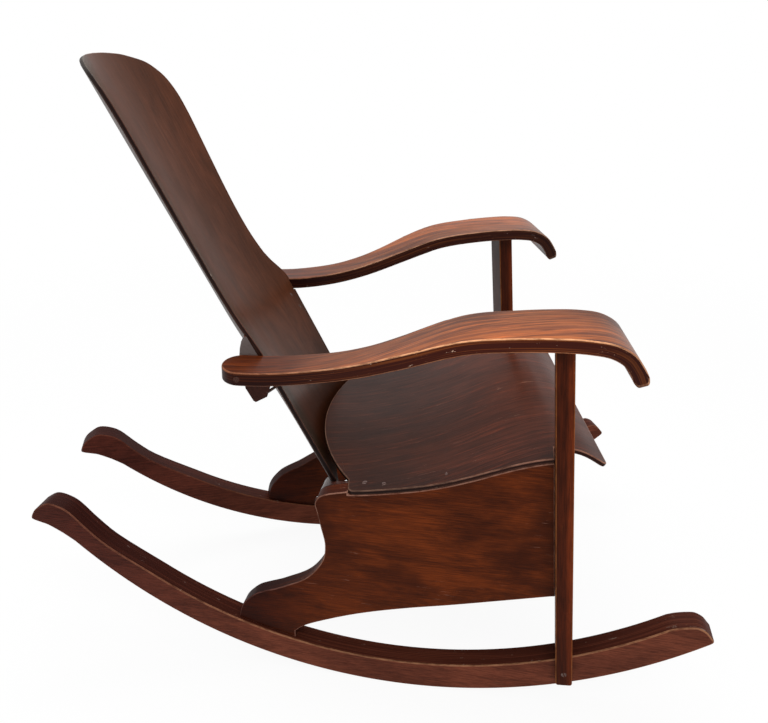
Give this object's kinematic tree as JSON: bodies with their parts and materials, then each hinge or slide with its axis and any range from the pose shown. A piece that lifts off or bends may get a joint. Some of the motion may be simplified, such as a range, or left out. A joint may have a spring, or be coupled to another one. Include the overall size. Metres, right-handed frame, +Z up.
{
  "type": "rocking chair",
  "caption": "Low-backed bent plywood rocking chair with scrolled rockers, solid side panels, curved armrests, a bent seat and a concave reclined back shell.",
  "frame": {"origin": "on the floor, at the bottom centre of the bounding box, midway between the rockers' tips", "axes": "+X towards the chair's front, +Y towards the sitter's left, +Z up; the chair is mirror-symmetric about the XZ plane"},
  "size_m": [0.9656, 0.6242, 0.8651],
  "materials": {
    "rocker_wood": "satin varnish, dark reddish brown, worn arrises",
    "panel_wood": "satin varnish, warm brown, horizontal grain",
    "post_wood": "satin varnish, dark red brown",
    "arm_wood": "gloss varnish, orange brown, ply lines on the edges",
    "seat_wood": "gloss varnish, purple brown, worn front edge",
    "back_wood": "gloss varnish, muted brown",
    "rail_wood": "satin varnish, very dark brown",
    "dowel_wood": "bare beech",
    "screw_steel": "dull, slightly rusted slotted heads"
  },
  "bodies": {
    "root": {"arm_bracket_left": "rail_wood", "arm_bracket_right": "rail_wood", "arm_dowel_left": "dowel_wood", "arm_dowel_right": "dowel_wood", "arm_screw_left": "screw_steel", "arm_screw_right": "screw_steel", "armrest_left": "arm_wood", "armrest_right": "arm_wood", "back_block_left": "rail_wood", "back_block_right": "rail_wood", "back_screw_left_1": "screw_steel", "back_screw_left_2": "screw_steel", "back_screw_right_1": "screw_steel", "back_screw_right_2": "screw_steel", "back_shell": "back_wood", "block_screw_left": "screw_steel", "block_screw_right": "screw_steel", "foot_dowel_left_1": "dowel_wood", "foot_dowel_left_2": "dowel_wood", "foot_dowel_right_1": "dowel_wood", "foot_dowel_right_2": "dowel_wood", "foot_screw_left": "screw_steel", "foot_screw_right": "screw_steel", "front_post_left": "post_wood", "front_post_right": "post_wood", "front_rail_dowel_left_1": "dowel_wood", "front_rail_dowel_left_2": "dowel_wood", "front_rail_dowel_right_1": "dowel_wood", "front_rail_dowel_right_2": "dowel_wood", "front_seat_rail": "rail_wood", "rear_rail_dowel_left_1": "dowel_wood", "rear_rail_dowel_left_2": "dowel_wood", "rear_rail_dowel_right_1": "dowel_wood", "rear_rail_dowel_right_2": "dowel_wood", "rear_seat_rail": "rail_wood", "rocker_left": "rocker_wood", "rocker_right": "rocker_wood", "seat_screw_left_1": "screw_steel", "seat_screw_left_2": "screw_steel", "seat_screw_left_3": "screw_steel", "seat_screw_left_4": "screw_steel", "seat_screw_right_1": "screw_steel", "seat_screw_right_2": "screw_steel", "seat_screw_right_3": "screw_steel", "seat_screw_right_4": "screw_steel", "seat_shell": "seat_wood", "side_panel_left": "panel_wood", "side_panel_right": "panel_wood"}
  },
  "joints": []
}
